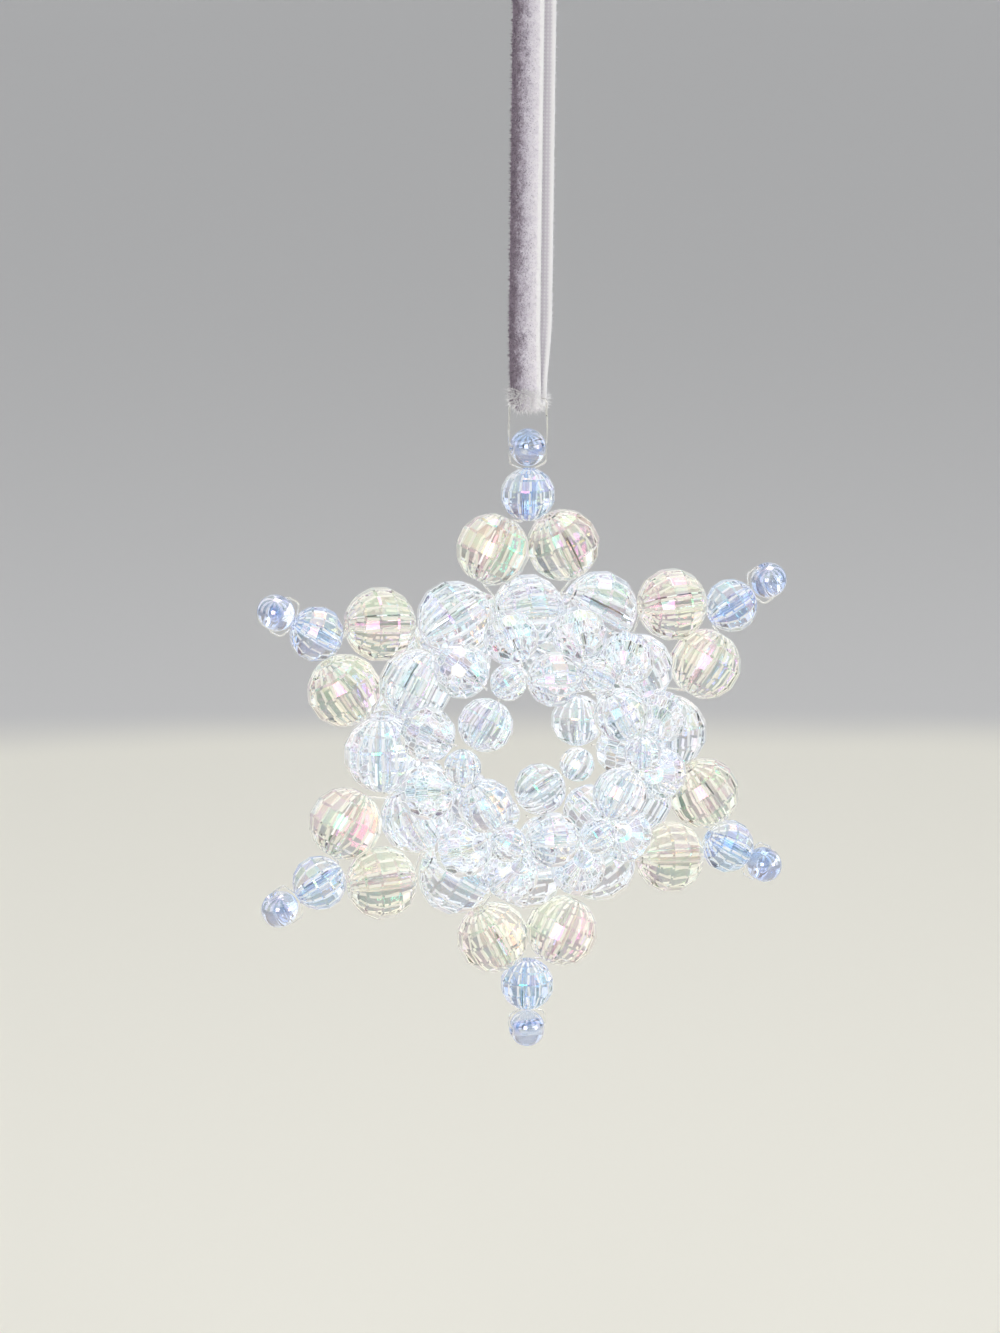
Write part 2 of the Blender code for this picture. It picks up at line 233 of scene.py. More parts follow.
def ribbon_path(count):
    """Middle of the strip: down one strand, half a circle round the fold, up the other strand.

    Above the fold both strands move apart as a smooth step, the back one further than the front,
    and below the knot they come together again.
    """
    straight, bend = -fold_height, math.pi * FOLD
    s = np.linspace(0, 2 * straight + bend, count)
    turn = np.clip((s - straight) / FOLD, 0, math.pi)
    z = np.where(s < straight, -s, np.where(s > straight + bend, s - 2 * straight - bend, fold_height))
    from_fold = np.clip((z - fold_height) / SPREAD, 0, 1)
    rise = np.minimum(from_fold, np.clip(LEFT_AT_KNOT - z / SPREAD, 0, 1))
    apart = rise**2 * (3 - 2 * rise) * np.where(turn < 1, FRONT_SHIFT, BACK_SHIFT)
    lean = LEAN * (z - fold_height) / straight
    z = z - FOLD * np.sin(turn) - FOLD_SAG
    x = apart - FOLD * np.cos(turn)
    return x[:, None] * ribbon_face + lean[:, None] * right + z[:, None] * UPWARD


def ribbon_profile(count):
    """Closed outline across the strip: sideways place and height above the woven ground's middle.

    The outer half bulges as a flat-topped cushion, one minus the cube of the way to the edge, to the
    power 0.6. The inner half is the flat reverse.
    """
    side = np.linspace(-1, 1, count)
    pile = GROUND / 2 + PILE * np.clip(1 - np.abs(side / PILE_REACH) ** 3, 0, 1) ** 0.6
    reverse = np.full(count, -GROUND / 2)
    reverse[[0, -1]] = 0
    across = np.concatenate((side, side[::-1])) * RIBBON_WIDTH / 2
    return across, np.concatenate((pile, reverse))


def carry(path, normal, sideways, across, height):
    """Grid of points: each place of the path plus the profile laid along its two directions."""
    height = np.broadcast_to(height, (len(path), len(across)))
    return path[:, None, :] + sideways * across[:, None] + normal[:, None, :] * height[..., None]


print("the fold hangs", round(-fold_height / MM, 1), "mm below the hook")

# %% [markdown]
# Now the profile goes along the path. A new ribbon would be even, but this one has been handled, so
# small lumps of chance height lie on the pile, and the fold is crushed most. Each point keeps its
# place across and along the strip as its UV, because the finishes follow the strip.

# %% Ribbon strip
ROWS, HALF_COLUMNS = 300, 15
LUMP, FOLD_LUMP, FOLD_REACH = 0.035 * MM, 0.1 * MM, 1.5 * MM
LUMPY_SHARE = 0.9
path = ribbon_path(ROWS)
run = np.concatenate(([0], np.cumsum(np.linalg.norm(np.diff(path, axis=0), axis=1))))
normal = unit(np.cross(np.gradient(path, axis=0), ribbon_across))
across, height = ribbon_profile(HALF_COLUMNS)
columns = len(across)
lumps = chance.normal(0, 1, (ROWS, columns))
lumps = (lumps + np.roll(lumps, 1, 0) + np.roll(lumps, 1, 1)) / 3
on_pile = (np.arange(columns) < HALF_COLUMNS) & (np.abs(across) < LUMPY_SHARE * RIBBON_WIDTH / 2)
crush = LUMP + FOLD_LUMP * np.exp(-(((run - run[-1] / 2) / FOLD_REACH) ** 2))
strip = carry(path, normal, ribbon_across, across, height + crush[:, None] * lumps * on_pile)
strip_uv = np.stack(np.meshgrid(across / RIBBON_WIDTH + 0.5, run / RIBBON_WIDTH), -1)
print("ribbon", strip.shape, "length", round(float(run[-1]) / MM, 1), "mm")

# %% [markdown]
# Velvet has two finishes. The first is the pile of cut viscose. Its colour is painted shade along one edge
# of the strip and painted light with sheen along the other, as light from one side would give, and a sheen
# layer also lights the fibres where light grazes. A plain colour with sheen would miss the painted shade and
# light and the blots, so the tone follows the place across the strip, two noises and the single fibre.

# %% Velvet pile
def velvet_pile():
    """Cut viscose pile: painted shade along one edge, painted light along the other, with a soft sheen."""
    material, tree = new_material("velvet_pile")
    place = add(tree, "TexCoord").outputs["Object"]
    uv = add(tree, "UVMap", {"uv_map": "strip"})
    # Across the strip the colour runs from painted shade at one edge to painted light with sheen at the
    # other.
    painted_light_across = add(tree, "SeparateXYZ", Vector=uv)
    fibre = add(tree, "Attribute", {"attribute_name": "coat"}).outputs["Fac"]
    patch = add(tree, "TexNoise", Vector=place, Scale=noise_scale(0.5 * MM), Detail=3.0, Roughness=0.6)
    tuft = add(tree, "TexNoise", Vector=place, Scale=noise_scale(0.12 * MM), Detail=2.0)
    blots = add(tree, "Math", TIMES_PLUS, _0=patch, _1=0.55, _2=painted_light_across)
    grain = add(tree, "Math", TIMES_PLUS, _0=tuft, _1=0.45, _2=blots)
    tone_and_painted_light = add(tree, "Math", TIMES_PLUS, _0=fibre, _1=0.15, _2=grain)
    spread = add(tree, "MapRange", Value=tone_and_painted_light, From_Min=0.5, From_Max=1.5)
    # The tones run from the dark mauve of the painted shade to the near white of the painted light.
    tones = ((0, "#7f7280"), (0.3, "#968a97"), (0.46, "#c8c0cd"), (0.66, "#ece8f0"), (1, "#fbf8fc"))
    ramp = add(tree, "ValToRGB", Fac=spread, tones=tones)
    bump = add(tree, "Bump", Height=tuft, Strength=0.5, Distance=0.1 * MM)
    shade = add(tree, "BsdfPrincipled", Base_Color=ramp, Roughness=0.85, Specular_IOR_Level=0.2, Normal=bump,
                Sheen_Weight=0.8, Sheen_Roughness=0.35, Sheen_Tint=linear("#f4edf6"))
    add(tree, "OutputMaterial", Surface=shade)
    return material


pile_finish = velvet_pile()
print("finish:", pile_finish.name)

# %% [markdown]
# The second finish is the ground cloth, seen on the reverse and at the edge: a plain weave with a
# dense pale selvedge. The weave is pale itself and painted paler still, near white, as painted light for
# the light that comes through the thin cloth into the shade between the strands. An image of cloth could
# serve, but two crossed wave patterns keep their size.
# Real threads are about 0.2 mm apart. They are drawn 0.4 mm apart, because finer ones would not
# show at this size. One band of the wave pattern is pi / 10 wide at scale 1.

# %% Velvet ground
THREAD_SPACING = 0.4 * MM


def velvet_ground():
    """Plain woven ground: two sets of threads at right angles, with a dense pale selvedge."""
    material, tree = new_material("velvet_ground_weave")
    uv = add(tree, "UVMap", {"uv_map": "strip"})
    bands = RIBBON_WIDTH / THREAD_SPACING * math.pi / 10
    warp = add(tree, "TexWave", {"bands_direction": "X"}, Vector=uv, Scale=bands)
    weft = add(tree, "TexWave", {"bands_direction": "Y"}, Vector=uv, Scale=bands)
    weave = add(tree, "Math", TIMES, _0=warp.outputs["Fac"], _1=weft.outputs["Fac"])
    # Near white: the cloth's own pale tone with painted light for the light that comes through the cloth.
    cloth = add(tree, "ValToRGB", Fac=weave, tones=((0, "#ebe7ed"), (1, "#fcfbfd")))
    aside = add(tree, "SeparateXYZ", Vector=uv)
    edge = add(tree, "Math", {"operation": "PINGPONG"}, _0=aside, _1=0.5)
    rim = add(tree, "MapRange", Value=edge, From_Min=0.12, From_Max=0.06)
    colour = add(tree, "Mix", {"data_type": "RGBA"}, Factor=rim, _6=cloth, _7=linear("#fdfcfd"))
    bump = add(tree, "Bump", Height=weave, Strength=0.3, Distance=0.08 * MM)
    shade = add(tree, "BsdfPrincipled", Base_Color=colour.outputs[2], Roughness=0.7,
                Sheen_Weight=0.3, Sheen_Roughness=0.4, Normal=bump)
    add(tree, "OutputMaterial", Surface=shade)
    return material


ground_finish = velvet_ground()
velvet = [pile_finish, ground_finish]
print("finish:", ground_finish.name)

# %% [markdown]
# What makes velvet soft to the eye is its edge: single fibres stand out from the cushion. Blender's
# hair could grow them, but would not be part of the mesh, so each fibre is a thin spike with three
# sides. It is rooted at a chance place of the grid, brushed over to one side, and takes the colour of
# the strip where it grows, painted shade and painted light included. Real fibres are ten times finer
# and far more, which no picture of this size shows.

# %% Pile fibres
FIBRE_THICK, FIBRE_ROOT, SHORTEST = 0.045 * MM, 0.05 * MM, 0.5
BRUSHED_ASIDE, BRUSHED_DOWN = 0.6, 0.2
FOOT_TURNS = (0, 2.1, 4.2)


def fibres(grid, uv, count, rows, longest, stray, index=0):
    """Spikes on a grid of points: roots between four neighbours, tips along the normal, leaned aside and
    down, and at random.
    """
    i = chance.integers(rows[0], rows[1] - 1, count)
    j = chance.integers(0, grid.shape[1] - 1, count)
    p, q = chance.uniform(0, 1, (2, count, 1))

    def between(values):
        first = values[i, j] * (1 - p) + values[i, j + 1] * p
        return first * (1 - q) + (values[i + 1, j] * (1 - p) + values[i + 1, j + 1] * p) * q

    over = unit(grid[i, j + 1] - grid[i, j])
    along = unit(grid[i + 1, j] - grid[i, j])
    out = unit(np.cross(along, over))
    side = unit(np.cross(out, along))
    root = between(grid) - out * FIBRE_ROOT
    astray = chance.normal(0, stray, out.shape)
    way = unit(out + BRUSHED_ASIDE * side + BRUSHED_DOWN * along + astray)
    tip = root + way * longest * chance.uniform(SHORTEST, 1, (count, 1))
    foot = [root + FIBRE_THICK * (math.cos(t) * along + math.sin(t) * side) for t in FOOT_TURNS]
    points = np.stack((*foot, tip), 1)
    sides = np.array(((0, 1, 3), (1, 2, 3), (2, 0, 3), (0, 2, 1)))
    faces = (4 * np.arange(count)[:, None, None] + sides).reshape(-1, 3)
    return {
        "points": points.reshape(-1, 3),
        "faces": faces.tolist(),
        "coat": np.repeat(chance.normal(0, 1, count), len(sides)),
        "uv": np.repeat(between(uv), sides.size, axis=0),
        "index": index,
    }


print("a fibre is", round(2 * FIBRE_THICK / MM, 2), "mm thick at its foot")

# %% [markdown]
# The ribbon is put together from its strip and its fibres. The strip could stay open at its ends, but
# a closed mesh can be measured, so each end gets a cap of ground cloth. At the fold the cloth frays,
# and longer and paler fibres stand out there in all directions.

# %% Ribbon piece
PILE_FIBRES, PILE_LENGTH, PILE_STRAY = 20000, 0.5 * MM, 0.4
FRAYED_FIBRES, FRAYED_LENGTH, FRAYED_STRAY, FRAYED_ROWS = 1100, 1.0 * MM, 0.8, 5
SELVEDGE = 0.02


def strip_part(grid, uv, way=1, round_ends=0):
    """Part of a mesh from the grid of a strip, with a cap at each end. Way is -1 on the far side."""
    rows = len(grid)
    quads = grid_faces(rows, columns)[:, ::-way]
    first, last = np.arange(columns), np.arange((rows - 1) * columns, rows * columns)
    is_pile = np.tile(first, rows - 1) < HALF_COLUMNS - 2
    cap_uv = np.full((2 * columns, 2), SELVEDGE)
    return {
        "points": grid.reshape(-1, 3),
        "faces": quads.tolist() + [first[::way], last[::-way]],
        "index": np.concatenate((np.where(is_pile, 0, 1), (1, 1))),
        "smooth": np.concatenate((np.ones(len(quads)), (round_ends, round_ends))),
        "uv": np.concatenate((uv.reshape(-1, 2)[quads].reshape(-1, 2), cap_uv)),
    }


outer, outer_uv = strip[:, :HALF_COLUMNS], strip_uv[:, :HALF_COLUMNS]
fold_row = int(np.argmin(path[:, 2]))
frayed_rows = (fold_row - FRAYED_ROWS, fold_row + FRAYED_ROWS)
woven = strip_part(strip, strip_uv)
pile = fibres(outer[:, :-1], outer_uv[:, :-1], PILE_FIBRES, (0, ROWS), PILE_LENGTH, PILE_STRAY)
frayed = fibres(outer, 0 * outer_uv, FRAYED_FIBRES, frayed_rows, FRAYED_LENGTH, FRAYED_STRAY, 1)
ribbon = make_piece("velvet_ribbon", [woven, pile, frayed], velvet, "hanger", "ribbon", "velvet")
print("velvet on", len(ribbon.data.polygons), "faces")

# %% [markdown]
# The knot is out of the picture but closes the ribbon. Both ends go up side by side, a turn of the
# same strip is pulled tight round them, and two short ends stand out above it. A true knot could be
# traced as one long path, but only its outside shows. So the turn is a profile carried round a
# tilted ring, and each end is a short strip that leans outwards.

# %% Shapes of the knot
KNOT_RADIUS, KNOT_MIDDLE = 2.0 * MM, 2.3 * MM
WRAP_THICK, WRAP_HALF_HEIGHT, WRAP_TILT = 0.75 * MM, 2.05 * MM, 0.5 * MM
WRAP_SWELL, WRAP_OVAL, WRAP_NARROW = 0.16, 0.12, 0.18
TAIL, TAIL_FOOT, TAIL_START, TAIL_OUT = 6.5 * MM, 2.0 * MM, 0.7 * MM, 2.6 * MM
TAIL_WIDTH, TAIL_SLANT = 0.95, 0.35


def wrap_band(count, columns):
    """Tilted ring round the strands, fat in the middle: radius falls off towards both edges.

    The thickness swells and shrinks three times round, and the ring is a little oval and narrower on
    one side.
    """
    turn = round_turns(count)[:, None]
    side = np.linspace(-math.pi, math.pi, columns, endpoint=False)[None, :]
    thick = WRAP_THICK * (1 + WRAP_SWELL * np.sin(3 * turn + 1))
    radius = (KNOT_RADIUS + thick * np.cos(side)) * (1 + WRAP_OVAL * np.cos(2 * turn))
    rise = WRAP_HALF_HEIGHT * np.sin(side) * (1 - WRAP_NARROW * np.cos(turn))
    z = KNOT_MIDDLE + rise + WRAP_TILT * np.cos(turn)
    points = np.stack((radius * np.cos(turn), radius * np.sin(turn), z + 0 * radius), -1)
    # The band takes the strip's place across from its lower to its upper edge, so it carries the pile's
    # painted shade below and painted light above.
    uv = np.stack((np.broadcast_to(0.5 + 0.45 * np.sin(side), radius.shape), turn + 0 * radius), -1)
    return points, grid_faces(count, columns, True)[:, TURNED_OVER], uv


def tail(side, rows):
    """Short end of the strip above the knot: it leans out along the ribbon's face and is cut aslant."""
    s = np.linspace(0, 1, rows)
    middle = side * (TAIL_START + TAIL_OUT * s**1.5)[:, None] * ribbon_face
    middle = middle + (TAIL_FOOT + TAIL * s)[:, None] * UPWARD
    facing = unit(np.cross(ribbon_across, np.gradient(middle, axis=0)))
    facing = side * facing * np.sign(facing @ ribbon_face)[:, None]
    outline, rise = ribbon_profile(HALF_COLUMNS)
    grid = carry(middle, facing, ribbon_across, outline * TAIL_WIDTH, rise)
    grid[..., 2] += TAIL_SLANT * s[:, None] * outline
    return grid


print("knot", round(2 * KNOT_RADIUS / MM, 1), "mm wide, ends", round(TAIL / MM, 1), "mm long")

# %% [markdown]
# The knot's three parts get fibres on their outer sides and become one piece. The strip was tied
# where it leans, so the knot sits a little to the right of the hook.

# %% Knot piece
WRAP_ROWS, WRAP_COLUMNS, WRAP_OUTSIDE, TAIL_ROWS = 96, 24, slice(6, 19), 24
WRAP_FIBRES, TAIL_FIBRES, KNOT_PILE, KNOT_STRAY = 5000, 1500, 0.38 * MM, 0.35
wrap, wrap_faces, wrap_uv = wrap_band(WRAP_ROWS, WRAP_COLUMNS)
outside, outside_uv = wrap[:, WRAP_OUTSIDE], wrap_uv[:, WRAP_OUTSIDE]
knot_parts = [
    {
        "points": wrap.reshape(-1, 3),
        "faces": wrap_faces.tolist(),
        "smooth": 1,
        "uv": wrap_uv.reshape(-1, 2)[wrap_faces].reshape(-1, 2),
    },
    fibres(outside, outside_uv, WRAP_FIBRES, (0, WRAP_ROWS), KNOT_PILE, KNOT_STRAY),
]
tail_run = np.linspace(0, TAIL / RIBBON_WIDTH, TAIL_ROWS)
tail_uv = np.stack(np.meshgrid(across / RIBBON_WIDTH + 0.5, tail_run), -1)
for side in (-1, 1):
    grid = tail(side, TAIL_ROWS)
    knot_parts.append(strip_part(grid, tail_uv, side, 1))
    outside, outside_uv = grid[::side, :HALF_COLUMNS], tail_uv[::side, :HALF_COLUMNS]
    knot_parts.append(fibres(outside, outside_uv, TAIL_FIBRES, (0, TAIL_ROWS), KNOT_PILE, KNOT_STRAY))
for part in knot_parts:
    part["points"] = part["points"] + LEAN * right
knot = make_piece("velvet_knot", knot_parts, velvet, "hanger", "ribbon_knot", "velvet")
print("knot faces", len(knot.data.polygons))

# %% [markdown]

# %% [markdown]
# A faceted bead is a solid inside a set of flat cuts. It could be a sphere with few faces, but those
# are never all flat and even. Here every cut is a plane, and the corners come from the dual: the hull
# of the cuts' own points. Most beads have long flats, rows of cuts along the bore whose edges run from
# end to end like the seams of a melon. Connector beads have finer flats, each row half a step round.

# %% Cuts of a bead
LONG_ROWS = ((0, 0.0), (28, 0.0), (50, 0.0), (64, 0.0))
FINE_ROWS = ((0, 0.0), (28, 0.5), (54, 0.0))
CUT_ERROR = 0.018


def hull_faces(points):
    """Triangles of the convex hull of some points, as index triples."""
    mesh = bpy.data.meshes.new("hull")
    mesh.from_pydata(points.tolist(), [], [])
    form = bmesh.new()
    form.from_mesh(mesh)
    bpy.data.meshes.remove(mesh)
    bmesh.ops.convex_hull(form, input=form.verts, use_existing_faces=False)
    form.verts.index_update()
    found = np.array([[v.index for v in face.verts] for face in form.faces])
    form.free()
    return found


def cut_directions(flats, rows):
    """Unit normals of the cuts: rows of (latitude, stagger), on both ends of the bore along X.

    All but the last row are turned by about a degree at random, as real cuts are. Perfectly even
    cuts would also trap light inside the bead for ever and leave its rim black.
    """
    sets = []
    for latitude, stagger in rows:
        turn = 2 * math.pi * (np.arange(flats) + stagger) / flats
        tilt = math.radians(latitude)
        out = math.cos(tilt)
        for sign in (1, -1) if latitude else (1,):
            along = np.full(flats, sign * math.sin(tilt))
            sets.append(np.stack((along, out * np.cos(turn), out * np.sin(turn)), -1))
    sides = np.concatenate(sets[:-2])
    sides = unit(sides + chance.normal(0, CUT_ERROR, sides.shape))
    return np.concatenate([sides] + sets[-2:] + [np.array([[1.0, 0, 0], [-1.0, 0, 0]])])


def cut_corners(normals, distances):
    """Corners of the solid: where the three planes of each triangle of the dual hull meet."""
    triples = hull_faces(normals / distances[:, None])
    return np.linalg.solve(normals[triples], distances[triples][..., None])[..., 0]


print("a cube from its six cuts:", len(hull_faces(np.concatenate((np.eye(3), -np.eye(3))))), "corners")

# %% [markdown]
# A small chamfer breaks each edge, because moulded acrylic has no sharp edges. The long chamfers are
# matt, and are the white lines that the real beads show. The bore could be cut with a Boolean, but
# it only joins a circle in one end flat to a circle in the other, so its wall is built directly.

# %% Cut beads with a bore
BEAD_END = math.sin(math.radians(66))
LOOSE_END, SAME_WAY, ROW_WIDTH = 0.96, 0.9999, 0.05


def open_bore(points, faces, is_end, is_edge, bore):
    """Opens both end flats with a circle each and joins the circles with the wall of the bore.

    Gives the points, the faces, and 1 for each face that stays matt.
    """
    kept = [face for face, end in zip(faces, is_end) if not end]
    matt = [int(edge) for edge, end in zip(is_edge, is_end) if not end]
    rims = []
    for face in (face for face, end in zip(faces, is_end) if end):
        outline = points[list(face)]
        angle = np.arctan2(outline[:, 2], outline[:, 1])
        circle = np.stack((outline[:, 0], bore / 2 * np.cos(angle), bore / 2 * np.sin(angle)), -1)
        first = len(points)
        points = np.concatenate((points, circle))
        count = len(face)
        kept += [(face[i], face[(i + 1) % count], first + (i + 1) % count, first + i) for i in range(count)]
        matt += [0] * count
        order = np.argsort(angle.round(5))
        rims.append((outline[0, 0], [first + int(i) for i in order]))
    low, high = (rim for _, rim in sorted(rims))
    count = len(low)
    kept += [(low[i], high[i], high[(i + 1) % count], low[(i + 1) % count]) for i in range(count)]
    return points, kept, np.array(matt + [0] * count)


def cut_bead(size, bore, flats, rows, chamfer):
    """Faceted bead with its bore along X, as points and faces, inside a sphere of this size.

    Each cut is a plane at one distance from the middle. Chamfers that run along the bore are marked
    as matt, and so are all those of a bead with fine flats.
    """
    normals = cut_directions(flats, rows)
    distances = np.ones(len(normals))
    distances[-2:] = LOOSE_END
    distances *= size / 2 / np.linalg.norm(cut_corners(normals, distances), axis=1).max()
    distances[-2:] = BEAD_END * size / 2
    corners = np.unique(cut_corners(normals, distances).round(8), axis=0)
    mesh = bpy.data.meshes.new("bead")
    mesh.from_pydata(corners.tolist(), [], hull_faces(corners).tolist())
    form = bmesh.new()
    form.from_mesh(mesh)
    bmesh.ops.recalc_face_normals(form, faces=form.faces)
    bmesh.ops.dissolve_limit(form, angle_limit=0.01, verts=form.verts, edges=form.edges)
    bmesh.ops.bevel(form, geom=form.edges[:], offset=chamfer, segments=1, profile=0.5, affect="EDGES")
    form.to_mesh(mesh)
    form.free()
    points, facing = np.empty(len(mesh.vertices) * 3), np.empty(len(mesh.polygons) * 3)
    mesh.vertices.foreach_get("co", points)
    mesh.polygons.foreach_get("normal", facing)
    faces = [tuple(face.vertices) for face in mesh.polygons]
    bpy.data.meshes.remove(mesh)
    facing = facing.reshape(-1, 3)
    is_end = np.abs(facing[:, 0]) > SAME_WAY
    levels = np.sin(np.radians([row[0] for row in rows]))
    along_bore = np.abs(np.abs(facing[:, :1]) - levels).min(1) < ROW_WIDTH
    is_edge = ((facing @ normals.T).max(1) < SAME_WAY) & (along_bore | (rows is FINE_ROWS))
    return open_bore(points.reshape(-1, 3), faces, is_end, is_edge, bore)


large_shape = cut_bead(8.2 * MM, 1.3 * MM, 18, LONG_ROWS, 0.16 * MM)
valley_shape = cut_bead(8.7 * MM, 1.3 * MM, 18, LONG_ROWS, 0.16 * MM)
middle_shape = cut_bead(6.15 * MM, 1.2 * MM, 15, LONG_ROWS, 0.13 * MM)
connector_shape = cut_bead(6.15 * MM, 1.0 * MM, 15, FINE_ROWS, 0.06 * MM)
ring_shape = cut_bead(6.15 * MM, 1.0 * MM, 15, LONG_ROWS, 0.13 * MM)
small_shape = cut_bead(4.15 * MM, 0.9 * MM, 12, LONG_ROWS, 0.11 * MM)
print("facets of a large bead:", len(large_shape[1]), "of a connector:", len(connector_shape[1]))

# %% [markdown]
# The tips are smooth beads, an arc turned round the bore. Each bead is then set on its place with a
# chance roll about its bore, as it would stop on the line. The real coating is sprayed from one side,
# so it is thickest on one side of each bead. A number on every face keeps that thickness, because
# a noise alone would ignore where the bead begins and ends.

# %% Smooth beads and places
COAT_SWING, COAT_CHANCE = 0.38, 0.05


def round_bead(size, bore, rows=28, columns=14):
    """Smooth seed bead along X: a circle's arc turned round the bore, closed by the bore's wall."""
    edge = math.acos(bore / size)
    tilt = np.linspace(-edge, edge, columns)
    profile_x = size / 2 * np.sin(tilt) * BEAD_END / math.sin(edge)
    profile_r = size / 2 * np.cos(tilt)
    turn = round_turns(rows)[:, None]
    points = np.stack((profile_x + 0 * turn, profile_r * np.cos(turn), profile_r * np.sin(turn)), -1)
    return points.reshape(-1, 3), grid_faces(rows, columns, True)[:, TURNED_OVER].tolist(), 0


def bead_at(shape, centre, axis, smooth=0):
    """A bead set on its place: X turned to the bore's direction, with a chance roll about it.

    The coating is thickest on the side that faced the spray, and differs a little from facet to facet.
    """
    points, faces, matt = shape
    axis = unit(np.asarray(axis))
    side = unit(np.cross(axis, np.eye(3)[np.argmin(np.abs(axis))]))
    roll = chance.uniform(0, 2 * math.pi)
    one = side * math.cos(roll) + np.cross(axis, side) * math.sin(roll)
    basis = np.stack((axis, one, np.cross(axis, one)))
    middles = np.array([points[list(face)].mean(0) for face in faces])
    coated = middles @ unit(chance.normal(0, 1, 3)) / np.abs(points).max()
    uneven = chance.normal(0, COAT_CHANCE, len(faces)) * (1 - smooth)
    return {
        "points": points @ basis + np.asarray(centre),
        "faces": faces,
        "coat": np.clip(0.5 + COAT_SWING * coated + uneven, 0, 1),
        "index": matt,
        "smooth": smooth,
    }


tip_shape = round_bead(4.15 * MM, 1.2 * MM)
print("faces of a tip bead:", len(tip_shape[1]))

# %% [markdown]
# The beads are moulded acrylic, clear or tinted, under an iridescent film of metal oxide. The film is
# a few hundred nanometres thick, so it mirrors some colours and lets the others through. Coloured
# lamps could fake that, but the shader's thin film layer works it out from the thickness, and the tint
# carries the colours that light takes on inside. Light that grazes the film takes a longer way through
# it and is scattered, so the rim of every bead turns white.

# %% Coated acrylic
SLANT_START, SLANT_FULL, LEFT_AT_RIM = 0.52, 0.8, 0.05


def acrylic(name, tints, film, clear=0.97, polish=0.0, roughness=0.012):
    """Coated acrylic: tints from the thin to the thick side of the film, film thickness in nanometres.

    The share of light that goes straight through falls from clear, seen square on, to almost none
    where the surface is seen at a slant. A polish of 1 puts a bright mirror coat on top.
    """
    material, tree = new_material(name)
    coat = add(tree, "Attribute", {"attribute_name": "coat"}).outputs["Fac"]
    place = add(tree, "TexCoord").outputs["Object"]
    cloud = add(tree, "TexNoise", Vector=place, Scale=noise_scale(1.2 * MM), Detail=2.0)
    drift = add(tree, "Math", TIMES_PLUS, _0=cloud, _1=0.5, _2=-0.25)
    shifted = add(tree, "Math", {"operation": "ADD"}, _0=coat, _1=drift)
    tones = [(i / (len(tints) - 1), tint) for i, tint in enumerate(tints)]
    ramp = add(tree, "ValToRGB", Fac=shifted, tones=tones)
    nanometres = add(tree, "MapRange", Value=shifted, To_Min=film[0], To_Max=film[1])
    worn = add(tree, "TexNoise", Vector=place, Scale=noise_scale(0.55 * MM), Detail=3.0)
    rough = add(tree, "MapRange", Value=worn, To_Min=roughness * 0.5, To_Max=roughness * 2)
    slant = add(tree, "LayerWeight", Blend=0.5).outputs["Facing"]
    through = add(tree, "MapRange", SMOOTH, Value=slant, From_Min=SLANT_START, From_Max=SLANT_FULL,
                  To_Min=clear, To_Max=LEFT_AT_RIM)
    shade = add(tree, "BsdfPrincipled", Base_Color=ramp, Roughness=rough, IOR=1.49,
                Transmission_Weight=through, Thin_Film_Thickness=nanometres, Thin_Film_IOR=1.8,
                Coat_Weight=polish, Coat_IOR=2.0, Coat_Roughness=0.02)
    add(tree, "OutputMaterial", Surface=shade)
    return material


CLEAR_TINTS = ("#f4f9ff", "#ffffff", "#e9f3fb", "#fcf7fc", "#eefaf8")
CREAM_TINTS = ("#fcfbf2", "#f8f5e6", "#fae4ee", "#e7f6ec", "#fbf9ea", "#f1f4ff")
PALE_TINTS = ("#ffffff", "#f2f8ff", "#b0cdfb", "#f2f7ff", "#d9e8ff", "#ffffff")
BLUE_TINTS = ("#ffffff", "#eaf2ff", "#aecbfb", "#f6faff", "#b8d1fb", "#ffffff")
clear = acrylic("clear_acrylic_iridescent", CLEAR_TINTS, (250, 460))
cream = acrylic("champagne_acrylic_iridescent", CREAM_TINTS, (300, 620))
pale = acrylic("pale_blue_acrylic_iridescent", PALE_TINTS, (250, 420))
blue = acrylic("blue_acrylic_glossy", BLUE_TINTS, (100, 200), clear=0.92, polish=1.0)
print("coated finishes:", [finish.name for finish in (clear, cream, pale, blue)])

# %% [markdown]
# Two more plastics have no film. The chamfers are moulded matt, so they scatter light and look white.
# The line is drawn nylon, clear with a touch of yellow. Glass nodes would do for both, but the shader
# of the beads can do the same, so one function makes all of them from their few values.

# %% Matt acrylic and nylon
def plain_plastic(name, thin, thick, blot, roughness, bend, through):
    """Plastic without film: two close tones in blots of this size, roughness, refraction, clearness."""
    material, tree = new_material(name)
    place = add(tree, "TexCoord").outputs["Object"]
    grain = add(tree, "TexNoise", Vector=place, Scale=noise_scale(blot), Detail=2.0)
    tone = add(tree, "ValToRGB", Fac=grain, tones=((0, thin), (1, thick)))
    shade = add(tree, "BsdfPrincipled", Base_Color=tone, Roughness=roughness, IOR=bend,
                Transmission_Weight=through)
    add(tree, "OutputMaterial", Surface=shade)
    return material


# Matt acrylic lets little light straight through, so the chamfers are the white lines of a bead.
white_edge = plain_plastic("clear_acrylic_matt_edge", "#f6faff", "#ffffff", 0.33 * MM, 0.4, 1.49, 0.2)
cream_edge = plain_plastic("champagne_acrylic_matt_edge", "#fbf8e8", "#fffdf4", 0.33 * MM, 0.4, 1.49, 0.2)
# Drawn nylon is clear and bright, and the fine blots stand for the marks of the die.
nylon = plain_plastic("nylon_monofilament", "#f4f1e6", "#ffffff", 0.17 * MM, 0.15, 1.53, 0.85)
print("plain finishes:", [finish.name for finish in (white_edge, cream_edge, nylon)])

